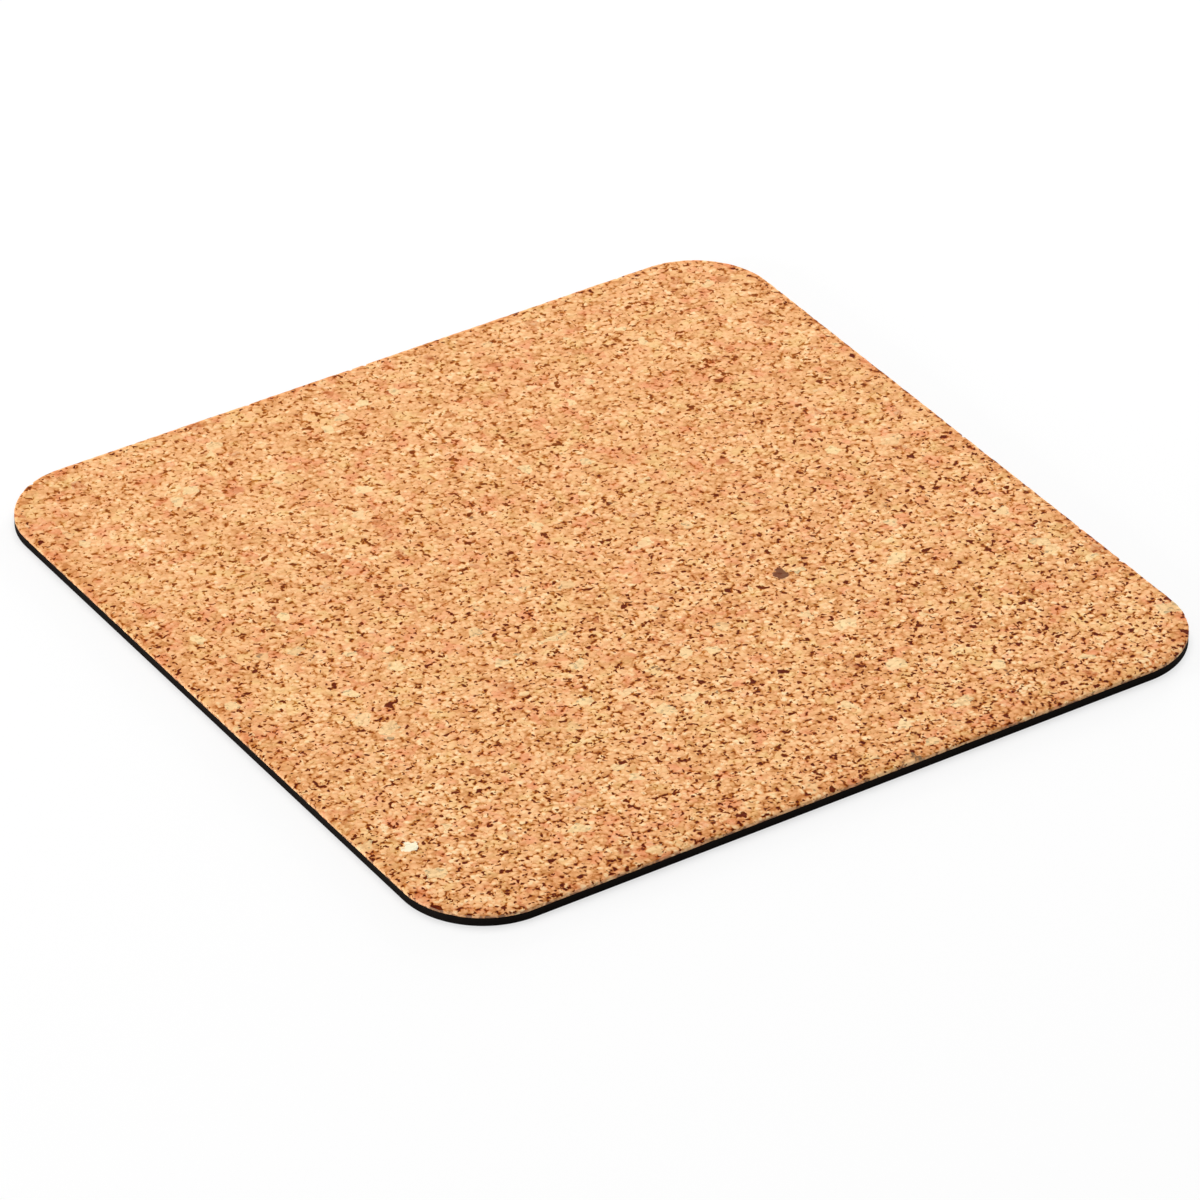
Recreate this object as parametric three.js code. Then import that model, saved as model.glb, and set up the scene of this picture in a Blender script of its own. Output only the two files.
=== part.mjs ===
import * as THREE from 'three';

// Cork mouse pad. A sheet of pressed cork granules is glued to a sheet of black foam rubber,
// and one stroke of a steel-rule die cuts the stack to a square with round corners.
// Millimetres, +Z up. The origin is the middle of the underside, and X runs along the front edge.

// The cut outline
const padWidth = 200;
const padDepth = 200;
const cornerRadius = 20;

// The stack, from the desk up
const baseThickness = 1.9;
const filmThickness = 0.1;
const corkThickness = 1.0;

// The edge that the die leaves
const rollWidth = 2.4; // how far in from the cut the cork's face starts to go down
const rollDrop = 0.35; // how far it has gone down where it meets the cut
const wallHollow = 0.15; // how far the springy foam stands back at half its height
const filmSetback = 0.3; // how far the glue stops short of the cut

// Steps along the round stretches
const cornerSteps = 12; // in each half of a corner
const rollSteps = 8;
const hollowSteps = 8;

// The outline drawn in from the cut by an inset, counter-clockwise. A corner keeps its centre,
// so what is drawn in comes off its radius.
function insetOutline(inset) {
  const radius = cornerRadius - inset;
  const right = padWidth / 2 - cornerRadius;
  const back = padDepth / 2 - cornerRadius;
  const quarter = Math.PI / 2;
  const outline = new THREE.Shape();
  outline.absarc(right, back, radius, 0, quarter);
  outline.absarc(-right, back, radius, quarter, 2 * quarter);
  outline.absarc(-right, -back, radius, 2 * quarter, 3 * quarter);
  outline.absarc(right, -back, radius, 3 * quarter, 4 * quarter);
  return outline;
}

// A closed sheet lofted through inset outlines. Each point of the edge profile gives one outline,
// its x as the inset and its y as the height, from the underside up. Flat faces close both ends.
function loftSheet(edgeProfile) {
  const rings = edgeProfile.map((point) => insetOutline(point.x).getPoints(cornerSteps));
  const ringSize = rings[0].length;
  const topRing = (rings.length - 1) * ringSize;
  const positions = [];
  rings.forEach((ring, level) => {
    ring.forEach((point) => positions.push(point.x, point.y, edgeProfile[level].y));
  });

  const triangles = [];
  for (let start = 0; start < topRing; start += ringSize) {
    for (let i = 0; i < ringSize; i += 1) {
      const here = start + i;
      const next = start + ((i + 1) % ringSize);
      triangles.push(here, next, next + ringSize);
      triangles.push(here, next + ringSize, here + ringSize);
    }
  }
  for (const [a, b, c] of THREE.ShapeUtils.triangulateShape(rings[0], [])) {
    triangles.push(c, b, a);
  }
  for (const [a, b, c] of THREE.ShapeUtils.triangulateShape(rings[rings.length - 1], [])) {
    triangles.push(topRing + a, topRing + b, topRing + c);
  }

  const geometry = new THREE.BufferGeometry();
  geometry.setAttribute('position', new THREE.Float32BufferAttribute(positions, 3));
  geometry.setIndex(triangles);
  geometry.computeVertexNormals();
  return geometry;
}

// The foam is squeezed as the die goes through and springs back, so its cut wall is hollow:
// an arch of a sine from the underside to the top.
function baseGeometry() {
  const profile = [];
  for (let step = 0; step <= hollowSteps; step += 1) {
    const share = step / hollowSteps;
    profile.push(new THREE.Vector2(wallHollow * Math.sin(Math.PI * share), baseThickness * share));
  }
  return loftSheet(profile);
}

// The glue is a plain flat film that stops short of the cut.
function filmGeometry() {
  return new THREE.ExtrudeGeometry(insetOutline(filmSetback), {
    depth: filmThickness,
    curveSegments: cornerSteps,
    bevelEnabled: false,
  });
}

// The cork's wall is straight, and its face rolls over to the wall in a quarter of an ellipse.
function corkGeometry() {
  const profile = [new THREE.Vector2(0, 0)];
  for (let step = 0; step <= rollSteps; step += 1) {
    const turn = (step / rollSteps) * (Math.PI / 2);
    const inset = rollWidth * (1 - Math.cos(turn));
    const height = corkThickness - rollDrop * (1 - Math.sin(turn));
    profile.push(new THREE.Vector2(inset, height));
  }
  return loftSheet(profile);
}

// The layers from the desk up, each laid on the one before
const layers = [
  {
    name: 'rubber_base',
    geometry: baseGeometry(),
    thickness: baseThickness,
    finish: { color: 0x15110f, roughness: 0.9, metalness: 0 },
  },
  {
    name: 'bond_film',
    geometry: filmGeometry(),
    thickness: filmThickness,
    finish: { color: 0x3a2f26, roughness: 0.5, metalness: 0 },
  },
  {
    name: 'cork_sheet',
    geometry: corkGeometry(),
    thickness: corkThickness,
    finish: { color: 0xe2a772, roughness: 0.85, metalness: 0 },
  },
];

const pad = new THREE.Group();
pad.name = 'mouse_pad';
let height = 0;
for (const layer of layers) {
  const sheet = new THREE.Mesh(layer.geometry, new THREE.MeshStandardMaterial(layer.finish));
  sheet.name = layer.name;
  sheet.position.z = height;
  pad.add(sheet);
  height += layer.thickness;
}

export default pad;
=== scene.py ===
import math

import bpy
import numpy as np
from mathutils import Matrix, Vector
from mathutils.geometry import delaunay_2d_cdt


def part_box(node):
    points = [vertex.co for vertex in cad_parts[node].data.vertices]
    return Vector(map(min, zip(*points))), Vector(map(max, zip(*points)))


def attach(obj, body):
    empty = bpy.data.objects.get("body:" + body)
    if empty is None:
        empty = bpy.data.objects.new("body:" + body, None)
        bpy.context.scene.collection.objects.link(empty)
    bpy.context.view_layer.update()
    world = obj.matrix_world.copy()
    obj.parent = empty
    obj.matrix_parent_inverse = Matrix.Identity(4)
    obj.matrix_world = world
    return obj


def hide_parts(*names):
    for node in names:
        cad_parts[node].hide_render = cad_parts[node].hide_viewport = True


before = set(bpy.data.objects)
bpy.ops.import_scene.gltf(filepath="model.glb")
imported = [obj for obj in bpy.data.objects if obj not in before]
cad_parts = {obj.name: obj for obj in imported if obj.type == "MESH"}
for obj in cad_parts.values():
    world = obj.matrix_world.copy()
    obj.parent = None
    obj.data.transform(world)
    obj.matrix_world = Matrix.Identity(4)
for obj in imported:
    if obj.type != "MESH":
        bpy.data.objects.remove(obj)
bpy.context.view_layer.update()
print("frame loaded:", ", ".join(sorted(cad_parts)))

mm = 0.001  # the frame is in metres, the settings below are in millimetres
scene = bpy.context.scene


# the lower and the upper corner of a CAD node's box, in millimetres
def nodeBox(node):
    low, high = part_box(node)
    return np.array(low) / mm, np.array(high) / mm


# a colour as it is seen on a screen, 0 to 255, made linear for a shader by the sRGB curve
def seen(red, green, blue):
    share = np.array([red, green, blue]) / 255
    linear = np.where(share <= 0.04045, share / 12.92, ((share + 0.055) / 1.055) ** 2.4)
    return (*linear.tolist(), 1.0)


# adds a node: a socket in inputs takes a link from another node's output, or else a plain value
def addNode(tree, kind, inputs=None, **settings):
    node = tree.nodes.new("ShaderNode" + kind)
    for name, value in settings.items():
        setattr(node, name, value)
    for socket, value in (inputs or {}).items():
        if isinstance(value, bpy.types.NodeSocket):
            tree.links.new(value, node.inputs[socket])
        else:
            node.inputs[socket].default_value = value
    return node


# one sum on two numbers, such as SUBTRACT
def number(tree, operation, first, second, clamp=False):
    return addNode(tree, "Math", {0: first, 1: second}, operation=operation, use_clamp=clamp).outputs[0]


# two numbers added
def plus(tree, first, second):
    return number(tree, "ADD", first, second)


# two numbers multiplied
def times(tree, first, second):
    return number(tree, "MULTIPLY", first, second)


# the larger of two numbers
def larger(tree, first, second):
    return number(tree, "MAXIMUM", first, second)


# carries a value from one range to another, with soft ends
def between(tree, value, low, high, start=0.0, end=1.0, kind="SMOOTHSTEP"):
    ends = {"Value": value, "From Min": low, "From Max": high, "To Min": start, "To Max": end}
    return addNode(tree, "MapRange", ends, interpolation_type=kind).outputs["Result"]


# the same along a straight line
def straight(tree, value, low, high, start, end):
    return between(tree, value, low, high, start, end, "LINEAR")


# first number where the factor is 0, second where it is 1
def blendNumber(tree, factor, first, second):
    return addNode(tree, "Mix", {0: factor, 2: first, 3: second}, data_type="FLOAT").outputs[0]


# first colour where the factor is 0, second where it is 1
def blendColour(tree, factor, first, second, way="MIX"):
    node = addNode(tree, "Mix", {0: factor, 6: first, 7: second}, data_type="RGBA", blend_type=way)
    return node.outputs[2]


# a tone laid over a colour, as far as the cover says
def paint(tree, colour, tone, cover):
    return blendColour(tree, cover, colour, seen(*tone))


# a clear film over a colour, which multiplies it by the film's tone, as far as the cover says
def filmOver(tree, colour, tone, cover):
    return blendColour(tree, cover, colour, blendColour(tree, 1.0, colour, seen(*tone), "MULTIPLY"))


# a row of colours along 0 to 1
def colourRow(tree, factor, stops):
    node = addNode(tree, "ValToRGB", {"Fac": factor})
    band = node.color_ramp
    while len(band.elements) < len(stops):
        band.elements.new(0.5)
    for element, (place, colour) in zip(band.elements, stops):
        element.position = place
        element.color = seen(*colour)
    return node.outputs["Color"]


# random clouds, features of about width millimetres
def clouds(tree, place, width, detail=2.0, rough=0.5, output="Fac"):
    inputs = {"Vector": place, "Scale": 1 / width, "Detail": detail, "Roughness": rough}
    return addNode(tree, "TexNoise", inputs).outputs[output]


# clouds carried to a pattern's range
def patches(tree, place, pattern, kind="SMOOTHSTEP"):
    return between(tree, clouds(tree, place, *pattern["clouds"]), *pattern["range"], kind=kind)


# random cells of about width millimetres: the distance from a cell's middle, in widths, and its colour
def cells(tree, place, width):
    outputs = addNode(tree, "TexVoronoi", {"Vector": place, "Scale": 1 / width}).outputs
    return outputs["Distance"], outputs["Color"]


# a cell's colour as three random numbers
def threeNumbers(tree, colour):
    return addNode(tree, "SeparateColor", {0: colour}).outputs


# a number that the mesh has at each of its points
def carried(tree, label):
    return addNode(tree, "Attribute", attribute_name=label).outputs["Fac"]


# an empty material with its shader, and the piece's own coordinates in millimetres
def startMaterial(name):
    material = bpy.data.materials.new(name)
    material.use_nodes = True
    tree = material.node_tree
    tree.nodes.clear()
    shader = addNode(tree, "BsdfPrincipled")
    addNode(tree, "OutputMaterial", {"Surface": shader.outputs[0]})
    coordinates = addNode(tree, "TexCoord").outputs["Object"]
    place = addNode(tree, "VectorMath", {0: coordinates, "Scale": 1 / mm}, operation="SCALE").outputs[0]
    return material, tree, shader, place


# joins a finish to its shader: colour, roughness, and a bump of the height times the look's distance
def dress(tree, shader, look, colour, height, rough):
    distance, strength = look["bump"]
    bump = addNode(tree, "Bump", {"Height": height, "Distance": distance * mm, "Strength": strength})
    tree.links.new(colour, shader.inputs["Base Color"])
    tree.links.new(bump.outputs[0], shader.inputs["Normal"])
    tree.links.new(rough, shader.inputs["Roughness"])
    shader.inputs["Specular IOR Level"].default_value = look["gloss"]


# 1 for rays that show a surface, straight, in a reflection or through glass,
# and 0 for those that light others by it
def shownRays(tree, ray):
    shown = larger(tree, ray.outputs["Is Camera Ray"], ray.outputs["Is Glossy Ray"])
    return larger(tree, shown, ray.outputs["Is Transmission Ray"])


# the camera of the photograph, by its bearing round the pad, its height above the horizon and its distance
view = {
    "bearing": -33.02,
    "height": 33.86,
    "distance": 1765.6,
    "lens": 237.85,
    "sensor": 36.0,
    "aim": (-3.9, -8.03, 0.0),  # the point of the desk in the middle of the picture
    "clip": (10.0, 100000.0),  # nothing nearer or farther is drawn
}


# a unit vector from the pad towards a bearing and a height, both in degrees
def towards(bearing, height):
    turn, rise = math.radians(bearing), math.radians(height)
    return Vector((math.sin(turn) * math.cos(rise), -math.cos(turn) * math.cos(rise), math.sin(rise)))


# the camera stands at its distance towards its bearing and height, and looks from there at its aim
def makeCamera():
    lens = bpy.data.cameras.new("camera")
    lens.lens = view["lens"]
    lens.sensor_width = view["sensor"]
    lens.clip_start = view["clip"][0] * mm
    lens.clip_end = view["clip"][1] * mm
    camera = bpy.data.objects.new("camera", lens)
    camera.location = towards(view["bearing"], view["height"]) * view["distance"] * mm
    look = Vector(view["aim"]) * mm - camera.location
    camera.rotation_euler = look.to_track_quat("-Z", "Y").to_euler()
    scene.collection.objects.link(camera)
    scene.camera = camera


# a white room that is brighter towards the horizon and on one side,
# with a broad lamp overhead and two small low ones
light = {
    "horizon": 1.15,
    "zenith": 0.42,
    "zenithFrom": 0.7,  # the sine of the height from which the room is as dim as overhead
    "brightSide": 150.0,  # the bearing of the room's brighter half
    "dim": 0.32,  # how bright the other half is beside it
    "halves": 0.8,  # they pass into each other from this cosine off the bright side to its opposite
    "lamps": [
        {"name": "topLamp", "bearing": 150.0, "height": 62.0, "away": 4000.0, "side": 3000.0, "power": 115.0},
        {"name": "backLamp", "bearing": 128.0, "height": 8.0, "away": 1600.0, "side": 400.0, "power": 12.0},
        {"name": "leftLamp", "bearing": -100.0, "height": 8.0, "away": 1600.0, "side": 400.0, "power": 14.5},
    ],
}


# the room is as bright as a direction's height says, times what its turn to the bright side says, and plain
# white where it is seen. Each lamp is a square that faces the pad.
def makeLight():
    world = bpy.data.worlds.new("sky")
    world.use_nodes = True
    tree = world.node_tree
    room = tree.nodes["Background"]
    room.inputs["Color"].default_value = (1, 1, 1, 1)
    way = addNode(tree, "TexCoord").outputs["Generated"]
    rise = addNode(tree, "SeparateXYZ", {0: way}).outputs["Z"]
    level = between(tree, rise, 0.0, light["zenithFrom"], light["horizon"], light["zenith"])
    bright = towards(light["brightSide"], 0.0)
    facing = addNode(tree, "VectorMath", {0: way, 1: bright}, operation="DOT_PRODUCT").outputs["Value"]
    level = times(tree, level, between(tree, facing, -light["halves"], light["halves"], light["dim"], 1.0))
    shown = shownRays(tree, addNode(tree, "LightPath"))
    tree.links.new(blendNumber(tree, shown, level, 1.0), room.inputs["Strength"])
    scene.world = world
    for lamp in light["lamps"]:
        data = bpy.data.lights.new(lamp["name"], "AREA")
        data.shape = "SQUARE"
        data.size = lamp["side"] * mm
        data.energy = lamp["power"]
        part = bpy.data.objects.new(lamp["name"], data)
        part.location = towards(lamp["bearing"], lamp["height"]) * lamp["away"] * mm
        part.rotation_euler = (-part.location).to_track_quat("-Z", "Y").to_euler()
        scene.collection.objects.link(part)


# a white desk top. Where it is seen, a share of it is plain white, so that the shadow on it stays faint.
desk = {"half": 6000.0, "top": -0.03, "colour": (252, 252, 252), "white": 0.66}


# one square round the middle. It is clear for rays from below and for those that went through it already,
# so that the underside of the pad shows from there.
def makeDesk():
    half, top = desk["half"] * mm, desk["top"] * mm
    mesh = bpy.data.meshes.new("desk")
    corners = [(-half, -half, top), (half, -half, top), (half, half, top), (-half, half, top)]
    mesh.from_pydata(corners, [], [(0, 1, 2, 3)])
    floor = bpy.data.objects.new("desk", mesh)
    scene.collection.objects.link(floor)
    material = bpy.data.materials.new("deskWhite")
    material.use_nodes = True
    tree = material.node_tree
    tree.nodes.clear()
    lit = addNode(tree, "BsdfDiffuse", {"Color": seen(*desk["colour"])}).outputs[0]
    plain = addNode(tree, "Emission", {"Color": (1, 1, 1, 1), "Strength": 1.0}).outputs[0]
    ray = addNode(tree, "LightPath")
    share = times(tree, shownRays(tree, ray), desk["white"])
    mixed = addNode(tree, "MixShader", {0: share, 1: lit, 2: plain}).outputs[0]
    below = addNode(tree, "NewGeometry").outputs["Backfacing"]
    through = number(tree, "GREATER_THAN", ray.outputs["Transparent Depth"], 0.5)
    clear = addNode(tree, "BsdfTransparent").outputs[0]
    surface = addNode(tree, "MixShader", {0: larger(tree, below, through), 1: mixed, 2: clear}).outputs[0]
    addNode(tree, "OutputMaterial", {"Surface": surface})
    mesh.materials.append(material)


scene.view_settings.view_transform = "Standard"
makeCamera()
makeLight()
makeDesk()
print("camera, light and desk made")


# the pad's outline, from the frame: half its width and depth, and the radius of its corners, from how far
# the round corner stays inside the square one along the diagonal, which is 2 less the root of 2 radii
def readOutline(node):
    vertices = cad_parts[node].data.vertices
    points = np.empty(len(vertices) * 3)
    vertices.foreach_get("co", points)
    points = points.reshape(-1, 3) / mm
    half = points[:, :2].max(axis=0)
    reach = (points[:, 0] + points[:, 1]).max()
    return half, (half.sum() - reach) / (2 - math.sqrt(2))


halfPad, cornerRadius = readOutline("cork_sheet")
print("outline: half sides", halfPad.round(2), "corner radius", round(cornerRadius, 2))


# how far a point lies outside the cut line, negative inside: the distance to a square with round corners
def outsideBy(x, y):
    overX = np.abs(x) - (halfPad[0] - cornerRadius)
    overY = np.abs(y) - (halfPad[1] - cornerRadius)
    corner = np.hypot(np.maximum(overX, 0), np.maximum(overY, 0))
    return corner + np.minimum(np.maximum(overX, overY), 0) - cornerRadius


# points at an inset from the cut line and their directions outwards. A point's share of its half side, by
# length, goes from the side's middle along the straight and then round the corner as far as its middle.
# onX is true on the sides that face along x.
def outlinePoint(signX, signY, onX, share, inset):
    radius = np.maximum(cornerRadius - inset, 0)
    reach = np.where(onX, halfPad[0], halfPad[1]) - inset - radius
    flat = np.where(onX, halfPad[1], halfPad[0]) - inset - radius
    along = share * (flat + radius * math.pi / 4)
    turn = np.clip((along - flat) / np.maximum(radius, 1e-9), 0, math.pi / 4)
    out = reach + radius * np.cos(turn)
    side = np.minimum(along, flat) + radius * np.sin(turn)
    x, y = np.where(onX, out, side), np.where(onX, side, out)
    outX, outY = np.where(onX, np.cos(turn), np.sin(turn)), np.where(onX, np.sin(turn), np.cos(turn))
    return signX * x, signY * y, signX * outX, signY * outY


# a square grid of rings from the middle out, whose last ring is the cut line: for each point its ring,
# its signs, whether it is on a side that faces along x, and its share of its half side
def ringGrid(rings):
    i, j = np.meshgrid(np.arange(-rings, rings + 1), np.arange(-rings, rings + 1), indexing="ij")
    ring = np.maximum(np.abs(i), np.abs(j))
    share = np.minimum(np.abs(i), np.abs(j)) / np.maximum(ring, 1)
    return ring, np.sign(i), np.sign(j), np.abs(i) >= np.abs(j), share


# the numbers of a square grid's points, row by row
def gridNumbers(rings):
    side = 2 * rings + 1
    return np.arange(side ** 2).reshape(side, side)


# the numbers of its outer points, counter-clockwise from its front left corner
def gridBorder(rings):
    grid = gridNumbers(rings)
    return np.concatenate([grid[:-1, 0], grid[-1, :-1], grid[:0:-1, -1], grid[0, :0:-1]])


# the numbers at the corners of each square of a grid, counter-clockwise
def squareCorners(grid):
    return grid[:-1, :-1], grid[1:, :-1], grid[1:, 1:], grid[:-1, 1:]


# two triangles in each square of the grid, split along the diagonal that points to the middle
def gridTriangles(rings):
    a, b, c, d = squareCorners(gridNumbers(rings))
    middle = np.arange(2 * rings) - rings + 0.5
    even = (middle[:, None] * middle[None, :] > 0)[..., None]
    first = np.where(even, np.stack([a, b, c], -1), np.stack([a, b, d], -1))
    second = np.where(even, np.stack([a, c, d], -1), np.stack([b, c, d], -1))
    return np.concatenate([first.reshape(-1, 3), second.reshape(-1, 3)])


# two triangles between each pair of neighbours on rings of points, from the first ring to the last
def wallTriangles(rows):
    here, above = rows[:-1], rows[1:]
    nextHere, nextAbove = np.roll(here, -1, axis=1), np.roll(above, -1, axis=1)
    first = np.stack([here, nextHere, nextAbove], -1).reshape(-1, 3)
    second = np.stack([here, nextAbove, above], -1).reshape(-1, 3)
    return np.concatenate([first, second])


# triangles from a ring of points to one in its middle
def fanTriangles(ring, middle):
    return np.stack([ring, np.roll(ring, -1), np.full(len(ring), middle)], -1)


# random sheets and granules repeat after a square of this side
sheet = {"side": 240.0, "points": 768}


# a sheet of random heights with hills of about the given width: white noise blurred by a Gaussian that
# falls to 1/e within 0.6 of the width, scaled to a spread of 1
def hillSheet(width, seed):
    points = sheet["points"]
    wave = np.fft.fftfreq(points, sheet["side"] / points)
    weight = np.exp(-((wave[:, None] ** 2 + wave[None, :] ** 2) * (0.6 * math.pi * width) ** 2))
    noise = np.random.default_rng(seed).standard_normal((points, points))
    field = np.fft.ifft2(np.fft.fft2(noise) * weight).real
    return field / field.std()


# the height of such a sheet at any point, straight between the four points round it
def readSheet(field, x, y):
    points, side = sheet["points"], sheet["side"]
    u, v = (x / side + 0.5) * points, (y / side + 0.5) * points
    i, j = np.floor(u).astype(int), np.floor(v).astype(int)
    fu, fv = u - i, v - j
    i, j, i1, j1 = i % points, j % points, (i + 1) % points, (j + 1) % points
    low = field[i, j] * (1 - fu) + field[i1, j] * fu
    high = field[i, j1] * (1 - fu) + field[i1, j1] * fu
    return low * (1 - fv) + high * fv


# granules: one seed somewhere in each square of a lattice. For each point it gives how far off the seam
# is, as the second nearest seed's distance less the nearest's, and its granule's own random number.
def granuleField(x, y, pitch, seed):
    side = sheet["side"]
    count = int(side / pitch) + 2
    draw = np.random.default_rng(seed)
    seeds, own = draw.random((count, count, 2)), draw.random((count, count))
    u, v = (x + side / 2) / pitch, (y + side / 2) / pitch
    i, j = np.floor(u).astype(int), np.floor(v).astype(int)
    around = [((i + a) % count, (j + b) % count, i + a, j + b) for a in (-1, 0, 1) for b in (-1, 0, 1)]
    far = np.stack([np.hypot(u - p - seeds[m, n, 0], v - q - seeds[m, n, 1]) for m, n, p, q in around])
    nearest = far.argmin(axis=0)
    owners = np.stack([own[m, n] for m, n, _, _ in around])
    order = np.sort(far, axis=0)
    return (order[1] - order[0]) * pitch, np.take_along_axis(owners, nearest[None], 0)[0]


# a piece's map: its margin, and the small square in a corner for triangles that are flat and hidden
mapRoom = {"margin": 0.002, "spotFrom": 0.003, "spotSide": 0.012}


# a mesh object from whole arrays, with a finish, numbers at its points and a map for its picture. flat is
# how many of the last triangles are flat and hidden.
def makePiece(name, points, triangles, flat, mapPoints, numbers, material):
    mesh = bpy.data.meshes.new(name)
    mesh.vertices.add(len(points))
    mesh.vertices.foreach_set("co", (points * mm).astype(np.float32).ravel())
    mesh.loops.add(triangles.size)
    mesh.loops.foreach_set("vertex_index", triangles.astype(np.int32).ravel())
    mesh.polygons.add(len(triangles))
    mesh.polygons.foreach_set("loop_start", np.arange(0, triangles.size, 3, dtype=np.int32))
    mesh.update(calc_edges=True)
    shaped = len(triangles) - flat
    mesh.polygons.foreach_set("use_smooth", np.arange(len(triangles)) < shaped)
    low, high = mapPoints.min(axis=0), mapPoints.max(axis=0)
    share = (mapPoints - low) / (high - low)
    full = mapRoom["margin"] + (1 - 2 * mapRoom["margin"]) * share
    spot = mapRoom["spotFrom"] + mapRoom["spotSide"] * share
    places = np.concatenate([full[triangles[:shaped]], spot[triangles[shaped:]]])
    layer = mesh.uv_layers.new(name="OFBake")
    layer.uv.foreach_set("vector", places.astype(np.float32).ravel())
    for label, values in numbers.items():
        mesh.attributes.new(label, "FLOAT", "POINT").data.foreach_set("value", values.astype(np.float32))
    mesh.materials.append(material)
    mesh.validate()
    piece = bpy.data.objects.new(name, mesh)
    scene.collection.objects.link(piece)
    return piece


# the sheet of pressed cork granules
cork = {
    "rings": 150,  # of the grid, from the middle to the cut
    "rollRings": 11,  # those of them on the roll
    "rollWidth": 2.4,  # the face goes down to the cut over this width
    "rollDrop": 0.35,
    "rimWidth": 4.2,  # the cork is darker towards the cut over this width
    "wallRows": 5,
    "granule": 2.3,
    "seam": 0.5,  # the width of a seam between granules
    "seamDepth": 0.035,
    "granuleStep": 0.03,  # how much granules differ in height
    "swell": 0.02,  # long low waves of the face
    "swellWidth": 9.0,
    "jitter": 0.16,  # how far grid points stray, so that no rows show
    "calmWidth": 2.0,  # they start to stray over this width inside the roll
    "ragged": 0.05,  # the cut's fine unevenness
    "raggedWidth": 1.2,  # of its hills along the upper edge
    "pitWidth": 1.0,  # of the pits in the wall
    "footShare": 0.4,  # how deep those at its foot are beside the rest
    "chip": 0.6,  # the deepest bite out of the upper edge
    "chipWidth": 0.8,
    "chipFrom": 1.4,  # only what is this many spreads above the mean of random heights is a bite
    "chipRise": 1.2,  # a bite is full after this many spreads more
    "healTo": 0.85,  # down the wall a bite gets shallower as far as this share of it
    "healPower": 1.5,
    "cap": 2.0,  # other random heights end at this many spreads
    "seeds": {"chips": 11, "ragged": 12, "jitter": 13, "granules": 14, "swell": 15, "pits": 20},
}


# the rolled face: flat in the middle, and over the last stretch a quarter of an ellipse down to the cut
def rollHeight(inset):
    share = np.clip(1 - inset / cork["rollWidth"], 0, 1)
    return -cork["rollDrop"] * (1 - np.sqrt(1 - share ** 2))


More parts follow.
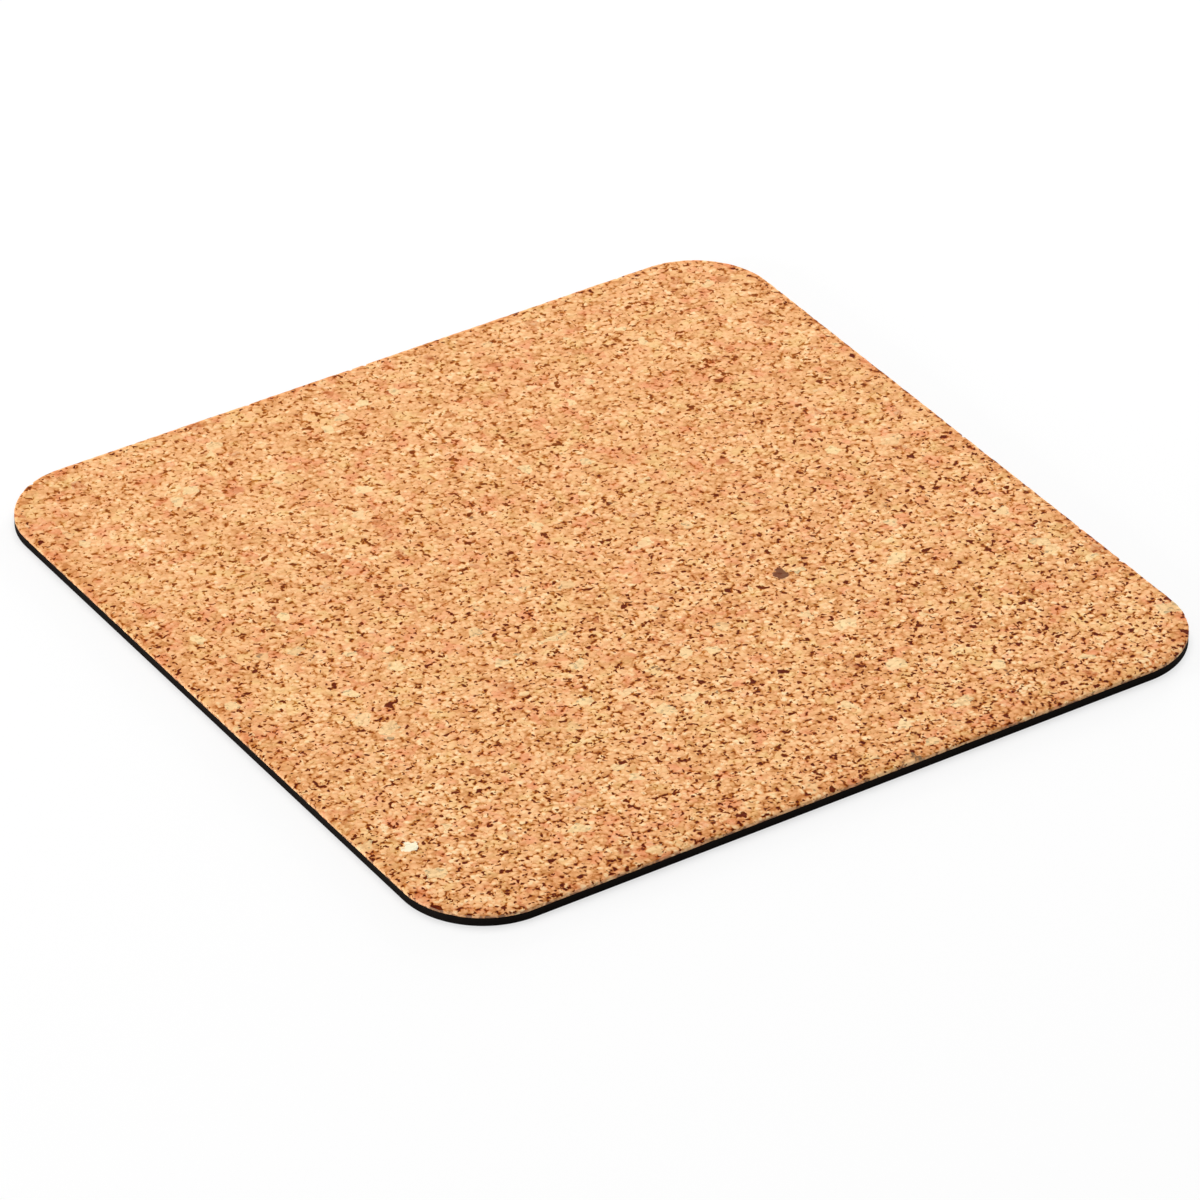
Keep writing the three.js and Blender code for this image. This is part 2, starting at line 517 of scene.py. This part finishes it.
# the face is a grid of rings drawn in from the cut, as high as the roll less its seams, granules and
# waves, with bites out of its edge. The wall goes straight down from that edge, pitted, and bites heal
# by a power of the way down.
def makeCork(material):
    low, high = nodeBox("cork_sheet")
    rings, rollRings, cap, seeds = cork["rings"], cork["rollRings"], cork["cap"], cork["seeds"]
    turn = np.linspace(math.pi / 2, 0, rollRings + 1)
    rolled = cork["rollWidth"] * (1 - np.cos(turn))
    middle = np.linspace(halfPad.min(), cork["rollWidth"], rings - rollRings + 1)
    insets = np.concatenate([middle[:-1], rolled])

    ring, signX, signY, onX, share = ringGrid(rings)
    inset = insets[ring]
    rimX, rimY, _, _ = outlinePoint(signX, signY, onX, share, np.zeros(inset.shape))
    bites = readSheet(hillSheet(cork["chipWidth"], seeds["chips"]), rimX, rimY)
    rough = readSheet(hillSheet(cork["raggedWidth"], seeds["ragged"]), rimX, rimY)
    bite = np.clip((bites - cork["chipFrom"]) / cork["chipRise"], 0, 1) * cork["chip"]
    bite = bite + cork["ragged"] * np.clip(rough + cap / 2, 0, cap)
    near = np.clip(1 - inset / cork["rollWidth"], 0, 1)
    x, y, outX, outY = outlinePoint(signX, signY, onX, share, inset + bite * near)

    stray = np.random.default_rng(seeds["jitter"]).uniform(-1, 1, (2, *inset.shape)) * cork["jitter"]
    calm = np.clip((inset - cork["rollWidth"]) / cork["calmWidth"], 0, 1)
    x, y = x + stray[0] * calm, y + stray[1] * calm

    seam, own = granuleField(x, y, cork["granule"], seeds["granules"])
    whole = np.clip(seam / cork["seam"], 0, 1)
    waves = np.clip(readSheet(hillSheet(cork["swellWidth"], seeds["swell"]), x, y), -cap, cap) / cap
    relief = cork["seamDepth"] * (whole - 1) + cork["granuleStep"] * (own - 1) * whole
    relief = relief + cork["swell"] * (waves - 1)
    z = high[2] + rollHeight(inset) + relief
    top = np.stack([x, y, z], -1).reshape(-1, 3)

    border = gridBorder(rings)
    count = len(border)
    edge = top[border]
    out = np.stack([outX, outY], -1).reshape(-1, 2)[border]
    edgeBite = bite.ravel()[border]
    drop = np.linspace(0, 1, cork["wallRows"] + 1)[1:, None]
    wallZ = edge[:, 2] + (low[2] - edge[:, 2]) * drop
    sheets = [hillSheet(cork["pitWidth"], seeds["pits"] + row) for row in range(cork["wallRows"])]
    pits = np.abs(np.stack([readSheet(field, edge[:, 0], edge[:, 1]) for field in sheets]))
    pits[-1] *= cork["footShare"]
    healed = np.minimum(drop, cork["healTo"]) ** cork["healPower"]
    inwards = cork["ragged"] * np.minimum(pits, cap) - edgeBite * healed
    wallXy = edge[None, :, :2] - out * inwards[..., None]
    wall = np.concatenate([wallXy, wallZ[..., None]], -1)

    points = np.concatenate([top, wall.reshape(-1, 3), [[0, 0, low[2]]]])
    rows = len(top) + np.arange(cork["wallRows"] * count).reshape(-1, count)
    rows = np.concatenate([rows[::-1], border[None]])
    under = fanTriangles(rows[0][::-1], len(points) - 1)
    triangles = np.concatenate([gridTriangles(rings), wallTriangles(rows), under])

    spread = high[2] - wallZ[..., None]
    mapPoints = np.concatenate([top[:, :2], (edge[:, :2] + out * spread).reshape(-1, 2), [[0, 0]]])
    rim = np.clip(1 - inset / cork["rimWidth"], 0, 1)
    cut = np.ones(len(points) - len(top))
    numbers = {"rim": np.concatenate([rim.ravel(), cut]), "side": np.concatenate([np.zeros(len(top)), cut])}
    return makePiece("corkFace", points, triangles, len(under), mapPoints, numbers, material)


# the cork's finish. The first two numbers of a range are carried to the next two, or to 0 and 1 where it
# has no more. Clouds have a width, a detail and a roughness. Ranges of places are in millimetres from an
# edge of the pad or the cork's foot, and those on the rim are shares, 0 inside and 1 at the cut.
corkLook = {
    "bends": ((1.6, 1.2), (0.5, 0.35)),  # clouds that bend the cells: how wide, and how far they move them
    "granule": 2.6,
    "granuleTone": (0, 1, 0.3, 0.64),
    "broken": (0, 1, 0.3, 1.3),  # how strongly a granule is broken up into crumbs
    "crumb": 1.25,
    "crumbTone": (0, 1, -0.27, 0.28),
    # painted light and shade: a crumb's top is painted pale and its edge darker, as a lit dome looks
    "domeShading": (0.2, 0.75, 0.23, -0.27),  # a crumb is pale on top and darker towards its edge
    "drift": {"clouds": (9.0, 2.0, 0.6), "range": (0.25, 0.75, -0.13, 0.13)},
    "grain": (0.25, 2.0, 0.6),
    "grainTone": (0.3, 0.7, -0.05, 0.05),
    "tones": [
        (0.0, (208, 140, 80)),
        (0.25, (231, 167, 109)),
        (0.5, (246, 186, 131)),
        (0.75, (253, 203, 149)),
        (1.0, (255, 222, 173)),
    ],
    # some granules are warmer than others, and they lean to it in patches
    "warm": (5.2, 2.0, 0.5),
    "warmGranule": (0, 1, -0.12, 0.12),
    "pink": (236, 146, 103),
    "pinkCover": (0.54, 0.77, 0, 0.6),
    "cream": (246, 205, 139),
    "creamCover": (0.45, 0.22, 0, 0.54),
    # the contrast grows towards the front and on the roll, which is a stretch of the rim
    "wear": (115.0, 5.0, 0.95, 1.38),
    "frontWear": (16.0, 7.0, 0, 0.15),
    "rollWear": 0.35,
    "rollIn": (0.25, 0.5),
    "rollOut": (0.95, 0.7),
    # pits where crumbs meet, dark bits with painted shade in them, and specks
    "pits": {"clouds": (1.5, 1.0, 0.5), "range": (0.48, 0.74)},
    "pitEdge": (0.4, 0.78),
    "specks": [
        {"clouds": (1.1, 1.0, 0.5), "range": (0.612, 0.705)},
        {"clouds": (2.0, 1.0, 0.5), "range": (0.655, 0.735)},
    ],
    # more specks where the cork is crumbly on the right rim, and at the foot of the cut, where they are
    # crumbled bits with painted shade in them
    "edgeSpecksAndFootShade": {"clouds": (1.5, 1.0, 0.5), "range": (0.5, 0.64)},
    "crumblyRim": (0.7, 0.95),
    "crumblyRight": (5.0, 1.5),
    "shadedFoot": (0.5, 0.1),
    "backFade": (120.0, 170.0, 1.0, 0.88),
    # what a pit or speck lets through, from none to the darkest
    "marks": [
        (0.0, (255, 255, 255)),
        (0.3, (220, 194, 144)),
        (0.6, (186, 134, 58)),
        (1.0, (106, 48, 2)),
    ],
    # rare granules, and larger flakes that are more common towards the front
    "rust": (200, 116, 70),
    "rustCover": (0.985, 0.995, 0, 0.5),
    "pale": (255, 229, 174),
    "paleCover": (0.014, 0.006, 0, 0.6),
    "flake": 3.4,
    "flakeFade": (140.0, 40.0, 0.024, 0),
    "flakeCover": (0.026, 0.017, 0, 0.56),
    # two chips that stand out, an off-white one and a bit of bark
    "chips": [
        {"at": (-90.6, -68.0), "reach": 2.1, "colour": (255, 249, 218), "cover": 0.94},
        {"at": (33.0, -25.0), "reach": 2.2, "colour": (98, 44, 26), "cover": 0.9},
    ],
    "chipEdge": {"clouds": (1.5, 2.0, 0.5), "range": (0.3, 0.7, -0.9, 0.9)},
    "chipSolid": 0.75,  # the share of its reach within which a chip covers all
    # what the films of painted shade on the strips along the front and the left edge let through
    "paintedShade": (250, 245, 241),
    "paintedShadeFront": (16.0, 5.0),
    "paintedShadeCut": (0.7, 3.0),
    "paintedShadeLeft": (18.0, 6.0, 0, 0.4),
    # what the darker rim lets through, and the tone of the cut
    "rim": (244, 231, 219),
    "rimIn": (0, 0.8),
    "rimOut": (0.72, 1.0, 1.0, 0.1),
    "cut": (242, 204, 164),
    "cutCover": 0.3,
    "bump": (0.07, 1.0),  # its height in millimetres and its strength
    "bumpTop": (0.7, 0.2),
    "bumpGrain": 0.3,
    "roughness": (0.3, 0.7, 0.74, 0.9),
    "gloss": 0.06,
}


# what the cork's finish is worked out from: the place, the same moved about by clouds, distances from the
# pad's edges and the cork's foot, the numbers on the mesh, and the granules, crumbs and grain there
def corkPlaces(tree, place):
    bent = place
    for width, reach in corkLook["bends"]:
        way = clouds(tree, place, width, 1.0, output="Color")
        way = addNode(tree, "VectorMath", {0: way, 1: (0.5,) * 3}, operation="SUBTRACT").outputs[0]
        inputs = {0: way, 1: (reach,) * 3, 2: bent}
        bent = addNode(tree, "VectorMath", inputs, operation="MULTIPLY_ADD").outputs[0]
    across, depth, rise = addNode(tree, "SeparateXYZ", {0: place}).outputs
    low, high = nodeBox("cork_sheet")
    _, granule = cells(tree, bent, corkLook["granule"])
    away, crumb = cells(tree, bent, corkLook["crumb"])
    return {
        "place": place,
        "bent": bent,
        "top": high[2],
        "fromFoot": number(tree, "SUBTRACT", rise, low[2]),
        "fromFront": plus(tree, depth, halfPad[1]),
        "fromLeft": plus(tree, across, halfPad[0]),
        "fromRight": number(tree, "SUBTRACT", halfPad[0], across),
        "rim": carried(tree, "rim"),
        "side": carried(tree, "side"),
        "granule": threeNumbers(tree, granule),
        "crumb": threeNumbers(tree, crumb),
        "away": away,
        "grain": clouds(tree, place, *corkLook["grain"]),
    }


# the contrast is a slope towards the front, plus a step on the front strip, plus a band on the roll
def corkWear(tree, at):
    slope = straight(tree, at["fromFront"], *corkLook["wear"])
    step = between(tree, at["fromFront"], *corkLook["frontWear"])
    rollIn = between(tree, at["rim"], *corkLook["rollIn"])
    rollOut = between(tree, at["rim"], *corkLook["rollOut"])
    band = times(tree, times(tree, rollIn, rollOut), corkLook["rollWear"])
    return plus(tree, plus(tree, slope, step), band)


# the colour without pits: a tone that adds up a granule's, painted light and shade on its crumbs' domes, the
# crumbs' own tones, a slow drift and fine grain, painted over with pink or cream where it is warm or cool
def corkTone(tree, at, worn):
    contrast = times(tree, worn, straight(tree, at["granule"][1], *corkLook["broken"]))
    tone = straight(tree, at["granule"][0], *corkLook["granuleTone"])
    # painted light and shade: each crumb is pale in its middle and darker towards its edge
    tone = plus(tree, tone, times(tree, contrast, straight(tree, at["away"], *corkLook["domeShading"])))
    tone = plus(tree, tone, times(tree, contrast, straight(tree, at["crumb"][0], *corkLook["crumbTone"])))
    tone = plus(tree, tone, patches(tree, at["place"], corkLook["drift"], "LINEAR"))
    tone = plus(tree, tone, straight(tree, at["grain"], *corkLook["grainTone"]))
    colour = colourRow(tree, tone, corkLook["tones"])
    lean = straight(tree, at["granule"][2], *corkLook["warmGranule"])
    warm = plus(tree, lean, clouds(tree, at["bent"], *corkLook["warm"]))
    colour = paint(tree, colour, corkLook["pink"], between(tree, warm, *corkLook["pinkCover"]))
    return paint(tree, colour, corkLook["cream"], between(tree, warm, *corkLook["creamCover"]))


# how dark the marks are: patches of pits at the crumbs' edges, which are dark bits with painted shade in
# them, specks, or specks on the crumbly right rim and at the foot of the cut, where they are painted shade in
# crumbled bites, whichever is the darkest, times the contrast, and fainter at the back
def corkMarks(tree, at, worn):
    # partly painted shade: the pits where crumbs meet are dark bits, and the shade in the gaps between crumbs
    pitEdge = between(tree, at["away"], *corkLook["pitEdge"])
    mark = times(tree, patches(tree, at["place"], corkLook["pits"]), pitEdge)
    for pattern in corkLook["specks"]:
        mark = larger(tree, mark, patches(tree, at["bent"], pattern))
    right = between(tree, at["fromRight"], *corkLook["crumblyRight"])
    crumblyAndFootShade = times(tree, between(tree, at["rim"], *corkLook["crumblyRim"]), right)
    # painted shade: dark specks in the crumbled bites at the foot of the cut
    crumblyAndFootShade = larger(tree, crumblyAndFootShade, between(tree, at["fromFoot"], *corkLook["shadedFoot"]))
    mark = larger(tree, mark, times(tree, patches(tree, at["bent"], corkLook["edgeSpecksAndFootShade"]), crumblyAndFootShade))
    return times(tree, times(tree, mark, worn), between(tree, at["fromFront"], *corkLook["backFade"]))


# the colour with rare granules and flakes, chosen by their random numbers, and the chips, each within a
# ragged distance of its place on the face
def corkFlakes(tree, at, colour):
    colour = paint(tree, colour, corkLook["rust"], between(tree, at["granule"][1], *corkLook["rustCover"]))
    colour = paint(tree, colour, corkLook["pale"], between(tree, at["granule"][1], *corkLook["paleCover"]))
    _, flake = cells(tree, at["bent"], corkLook["flake"])
    rare = between(tree, at["fromFront"], *corkLook["flakeFade"])
    rare = plus(tree, threeNumbers(tree, flake)[0], rare)
    colour = paint(tree, colour, corkLook["pale"], between(tree, rare, *corkLook["flakeCover"]))
    ragged = patches(tree, at["place"], corkLook["chipEdge"], "LINEAR")
    for chip in corkLook["chips"]:
        inputs = {0: at["bent"], 1: (*chip["at"], at["top"])}
        apart = addNode(tree, "VectorMath", inputs, operation="DISTANCE").outputs["Value"]
        solid = chip["reach"] * corkLook["chipSolid"]
        shown = between(tree, plus(tree, apart, ragged), chip["reach"], solid, 0, chip["cover"])
        colour = paint(tree, colour, chip["colour"], shown)
    return colour


# the colour with what changes towards the edges: films of painted shade on strips along the front and the
# left, a film on the rim, and the tone of the cut
def corkEdges(tree, at, colour):
    # painted shade: the strips along the front and the left edge are darker
    front = between(tree, at["fromFront"], *corkLook["paintedShadeFront"])
    front = times(tree, front, between(tree, at["fromFront"], *corkLook["paintedShadeCut"]))
    shadedStrips = larger(tree, front, between(tree, at["fromLeft"], *corkLook["paintedShadeLeft"]))
    colour = filmOver(tree, colour, corkLook["paintedShade"], shadedStrips)
    darker = number(tree, "SUBTRACT", between(tree, at["rim"], *corkLook["rimIn"]), at["side"], clamp=True)
    darker = times(tree, darker, between(tree, at["rim"], *corkLook["rimOut"]))
    colour = filmOver(tree, colour, corkLook["rim"], darker)
    return paint(tree, colour, corkLook["cut"], times(tree, at["side"], corkLook["cutCover"]))


# the tone multiplied by what the marks let through, then the flakes and the edges. The bump is a crumb's
# rounded top plus the grain less the marks.
def corkMaterial():
    material, tree, shader, place = startMaterial("pressedCork")
    at = corkPlaces(tree, place)
    worn = corkWear(tree, at)
    mark = corkMarks(tree, at, worn)
    through = colourRow(tree, mark, corkLook["marks"])
    colour = blendColour(tree, 1.0, corkTone(tree, at, worn), through, "MULTIPLY")
    colour = corkEdges(tree, at, corkFlakes(tree, at, colour))
    height = between(tree, at["away"], *corkLook["bumpTop"])
    height = plus(tree, height, times(tree, at["grain"], corkLook["bumpGrain"]))
    height = number(tree, "SUBTRACT", height, mark)
    dress(tree, shader, corkLook, colour, height, straight(tree, at["grain"], *corkLook["roughness"]))
    return material


corkPiece = makeCork(corkMaterial())
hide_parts("cork_sheet")
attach(corkPiece, "root")
print("cork face:", len(corkPiece.data.polygons), "triangles")


# the black foam rubber base
base = {
    "hollow": 0.15,  # how far the cut wall stands back at half its height
    "wallRows": 8,
    "ringPoints": 1200,  # round the cut
    "blockPitch": 2.4,  # the grip underneath: raised blocks on a lattice turned by half a right angle
    "grooveHalf": 0.35,
    "grooveDepth": 0.22,
    "turn": 45.0,
    "edgeClear": 0.3,  # no lattice point is nearer the cut than this
    "fade": 2.0,  # the grooves come up to full depth over this width from there
    "mergeWithin": 1e-7,  # points of the fringe that are nearer than this would be one
}


# the lines of the lattice in one direction, each groove's middle and both its edges, and the share of
# the groove's depth that each line has
def latticeLines(reach):
    count = int(reach / base["blockPitch"]) + 1
    middles = np.arange(-count, count + 1) * base["blockPitch"]
    lines = (middles[:, None] + np.array([-1, 0, 1]) * base["grooveHalf"]).ravel()
    return lines, np.tile([0, 1, 0], len(middles))


# points turned counter-clockwise about the middle by an angle in degrees
def turned(x, y, angle):
    cosine, sine = math.cos(math.radians(angle)), math.sin(math.radians(angle))
    return x * cosine - y * sine, x * sine + y * cosine


# the crossings of the lattice's lines inside the cut, raised by the groove's depth where either line is a
# groove's middle. It also gives their numbers on the lattice and which of its squares are whole.
def gripLattice(lines, depth, bottom):
    x, y = turned(*np.meshgrid(lines, lines, indexing="ij"), base["turn"])
    clear = -outsideBy(x, y) - base["edgeClear"]
    inside = clear > 0
    fade = np.clip(clear / base["fade"], 0, 1)
    z = bottom + base["grooveDepth"] * fade * np.maximum(depth[:, None], depth[None, :])
    numbers = np.cumsum(inside.ravel()).reshape(inside.shape) - 1
    whole = np.all(squareCorners(inside), axis=0)
    return np.stack([x, y, z], -1)[inside], numbers, whole


# triangles that fill what is left between the lattice's whole squares and the cut line: the flat fill of
# both edges' points, less what falls on a whole square. The rim's points are numbered after the lattice's.
def fringeTriangles(lines, lattice, numbers, whole, squares, rim):
    lone = np.ones(len(lattice), bool)
    lone[numbers[1:-1, 1:-1][np.all(squareCorners(whole), axis=0)]] = False
    fringe = np.flatnonzero(lone)
    place = np.full(len(lattice), -1)
    place[fringe] = np.arange(len(fringe))
    sides = np.concatenate([np.stack(pair, -1) for pair in zip(squares, squares[1:] + squares[:1])])
    sides, uses = np.unique(np.sort(sides, axis=1), axis=0, return_counts=True)
    rimNumbers = len(fringe) + np.arange(len(rim))
    rimSides = np.stack([rimNumbers, np.roll(rimNumbers, -1)], -1)
    edges = np.concatenate([place[sides[uses == 1]], rimSides])
    points = np.concatenate([lattice[fringe, :2], rim[:, :2]])
    fill = delaunay_2d_cdt([Vector(p) for p in points.tolist()], edges.tolist(), [], 0, base["mergeWithin"])
    _, _, faces, sources = fill[:4]
    band = np.array([group[0] for group in sources])[np.array(faces)]
    centre = points[band].mean(axis=1)
    cellU, cellV = turned(centre[:, 0], centre[:, 1], -base["turn"])
    at = np.searchsorted(lines, cellU) - 1, np.searchsorted(lines, cellV) - 1
    band = band[~whole[at]]
    return np.concatenate([fringe, len(lattice) + np.arange(len(rim))])[band][:, ::-1]


# the underside is the grip's lattice and its fringe. The wall goes from the cut line up, hollow by an arch
# of a sine, and a fan closes the top.
def makeBase(material):
    low, high = nodeBox("rubber_base")
    lines, depth = latticeLines(math.hypot(*halfPad))
    lattice, numbers, whole = gripLattice(lines, depth, low[2])
    squares = [corner[whole] for corner in squareCorners(numbers)]
    a, b, c, d = squares
    blocks = np.concatenate([np.stack([a, c, b], -1), np.stack([a, d, c], -1)])

    rings = base["ringPoints"] // 8  # a square grid has 8 border points for each of its rings
    border = gridBorder(rings)
    count = len(border)
    _, *sides = ringGrid(rings)
    rimX, rimY, outX, outY = outlinePoint(*(values.ravel()[border] for values in sides), np.zeros(count))
    rim = np.stack([rimX, rimY, np.full(count, low[2])], -1)
    fringe = fringeTriangles(lines, lattice, numbers, whole, squares, rim)

    rise = np.linspace(0, 1, base["wallRows"] + 1)[1:, None]
    inset = base["hollow"] * np.sin(math.pi * rise) * np.ones(count)
    wallZ = rim[:, 2] + (high[2] - rim[:, 2]) * rise
    wall = np.stack([rimX - outX * inset, rimY - outY * inset, wallZ], -1)

    points = np.concatenate([lattice, rim, wall.reshape(-1, 3), [[0, 0, high[2]]]])
    rows = len(lattice) + np.arange((base["wallRows"] + 1) * count).reshape(-1, count)
    top = fanTriangles(rows[-1], len(points) - 1)
    triangles = np.concatenate([blocks, fringe, wallTriangles(rows), top])
    spread = np.stack([outX, outY], -1) * (wallZ - low[2])[..., None]
    mapPoints = np.concatenate([lattice[:, :2], rim[:, :2], (rim[:, :2] + spread).reshape(-1, 2), [[0, 0]]])
    under = len(lattice) + count
    side = np.concatenate([np.zeros(under), np.ones(len(points) - under)])
    return makePiece("foamBase", points, triangles, len(top), mapPoints, {"side": side}, material)


# the foam's finish, with ranges and clouds as in the cork's
baseLook = {
    "black": (21, 17, 15),
    "worn": (38, 32, 29),
    "dust": {"clouds": (14.0, 4.0, 0.6), "range": (0.45, 0.75)},
    "dustCover": 0.5,
    "scuffed": (50, 46, 43),  # the tops of the grip's blocks, rubbed on the desk
    "scuffSide": (0.06, 0),
    "scuffRise": (0.12, 0.02),
    "rub": {"clouds": (3.0, 3.0, 0.6), "range": (0.3, 0.6, 0.3, 1.0)},
    "cell": (10, 9, 8),
    "cellWidth": 0.22,
    "hole": (0.42, 0.2),
    "holeCover": 0.7,
    "grain": (0.12, 2.0, 0.5),
    "grainShare": 0.5,
    "bump": (0.03, 0.8),
    "roughness": (0, 1, 0.78, 0.92),
    "gloss": 0.03,
}


# black with a dusty film in patches, scuffed on the lowest part of the underside, with a dark hole in the
# middle of each cell of the foam. The bump is the grain less the holes.
def baseMaterial():
    material, tree, shader, place = startMaterial("foamRubber")
    dust = patches(tree, place, baseLook["dust"])
    dusty = times(tree, dust, baseLook["dustCover"])
    colour = paint(tree, seen(*baseLook["black"]), baseLook["worn"], dusty)
    rise = addNode(tree, "SeparateXYZ", {0: place}).outputs["Z"]
    under = between(tree, carried(tree, "side"), *baseLook["scuffSide"])
    scuffed = times(tree, under, between(tree, rise, *baseLook["scuffRise"]))
    scuffed = times(tree, scuffed, patches(tree, place, baseLook["rub"]))
    colour = paint(tree, colour, baseLook["scuffed"], scuffed)
    away, _ = cells(tree, place, baseLook["cellWidth"])
    hole = between(tree, away, *baseLook["hole"])
    colour = paint(tree, colour, baseLook["cell"], times(tree, hole, baseLook["holeCover"]))
    grain = times(tree, clouds(tree, place, *baseLook["grain"]), baseLook["grainShare"])
    height = number(tree, "SUBTRACT", grain, hole)
    dress(tree, shader, baseLook, colour, height, straight(tree, dust, *baseLook["roughness"]))
    return material


basePiece = makeBase(baseMaterial())
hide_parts("rubber_base")
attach(basePiece, "root")
print("foam base:", len(basePiece.data.polygons), "triangles")


# the glue line between the two, with ranges and clouds as in the cork's
glueLook = {
    "dark": (44, 34, 26),
    "amber": (84, 60, 38),
    "amberCover": (0.4, 0.65),
    "runs": (2.5, 3.0, 0.5),
    "bump": (0.03, 0.6),
    "roughness": (0.3, 0.7, 0.35, 0.6),
    "gloss": 0.5,
}


# dark glue that is amber, higher and duller where it has run together
def glueMaterial():
    material, tree, shader, place = startMaterial("glueLine")
    runs = clouds(tree, place, *glueLook["runs"])
    amber = between(tree, runs, *glueLook["amberCover"])
    colour = paint(tree, seen(*glueLook["dark"]), glueLook["amber"], amber)
    dress(tree, shader, glueLook, colour, runs, straight(tree, runs, *glueLook["roughness"]))
    return material


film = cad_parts["bond_film"]
film.data.materials.clear()
film.data.materials.append(glueMaterial())
print("glue line finished")
